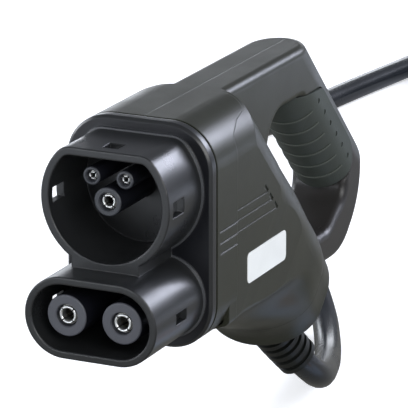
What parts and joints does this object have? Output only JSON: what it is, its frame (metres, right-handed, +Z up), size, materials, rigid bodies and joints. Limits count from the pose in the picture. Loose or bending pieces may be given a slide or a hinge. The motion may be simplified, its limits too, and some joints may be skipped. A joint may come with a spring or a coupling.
{
  "type": "ev charging cable",
  "caption": "Vehicle connector for direct-current car charging with a slanted loop grip, a ribbed bend relief and its cable, the rest of the cable wound in a tied coil.",
  "frame": {"origin": "axis of the earth contact in the plane of the upper collar's front rim", "axes": "-Y is the direction in which the connector pushes into the vehicle's inlet, +Z is up, +X is to the right when the mating face is seen from the front"},
  "size_m": [0.2677, 1.0432, 0.2007],
  "materials": {
    "face_plastic": "fine satin moulding, near black",
    "sleeve_plastic": "satin moulding, mid grey",
    "gasket_rubber": "matt",
    "housing_plastic": "satin moulding, dark olive grey",
    "collar_plastic": "satin moulding, dark grey",
    "grip_rubber": "matt soft moulding",
    "relief_rubber": "matt soft moulding",
    "jacket": "smooth, slightly glossy extruded jacket",
    "contact_metal": "silver plated turned metal",
    "screw_steel": "zinc plated",
    "label_white": "white, bare",
    "tie_fabric": "woven hook and loop strap",
    "ferrule_tin": "tin plated",
    "wire_red": "extruded insulation",
    "wire_black": "extruded insulation",
    "wire_green": "extruded insulation",
    "wire_white": "extruded insulation",
    "wire_blue": "extruded insulation"
  },
  "bodies": {
    "root": {"bend_relief": "relief_rubber", "cable": "jacket", "cable_coil": "jacket", "cable_inner": "jacket", "clamp_lower": "sleeve_plastic", "clamp_screws": "screw_steel", "clamp_upper": "sleeve_plastic", "coil_tie": "tie_fabric", "contact_carrier": "sleeve_plastic", "dc_minus_contact": "contact_metal", "dc_minus_sleeve": "sleeve_plastic", "dc_minus_wire": "wire_black", "dc_plus_contact": "contact_metal", "dc_plus_sleeve": "sleeve_plastic", "dc_plus_wire": "wire_red", "earth_contact": "contact_metal", "earth_sleeve": "sleeve_plastic", "earth_wire": "wire_green", "end_dc_minus_ferrule": "ferrule_tin", "end_dc_minus_wire": "wire_black", "end_dc_plus_ferrule": "ferrule_tin", "end_dc_plus_wire": "wire_red", "end_earth_ferrule": "ferrule_tin", "end_earth_wire": "wire_green", "end_pilot_ferrule": "ferrule_tin", "end_pilot_wire": "wire_white", "end_proximity_ferrule": "ferrule_tin", "end_proximity_wire": "wire_blue", "flange_gasket": "gasket_rubber", "grip_pad": "grip_rubber", "housing_left": "housing_plastic", "housing_right": "housing_plastic", "label_plate": "label_white", "mating_face": "face_plastic", "outlet_collar": "collar_plastic", "pilot_contact": "contact_metal", "pilot_sleeve": "sleeve_plastic", "pilot_wire": "wire_white", "proximity_contact": "contact_metal", "proximity_sleeve": "sleeve_plastic", "proximity_wire": "wire_blue", "shell_screws": "screw_steel"}
  },
  "joints": []
}
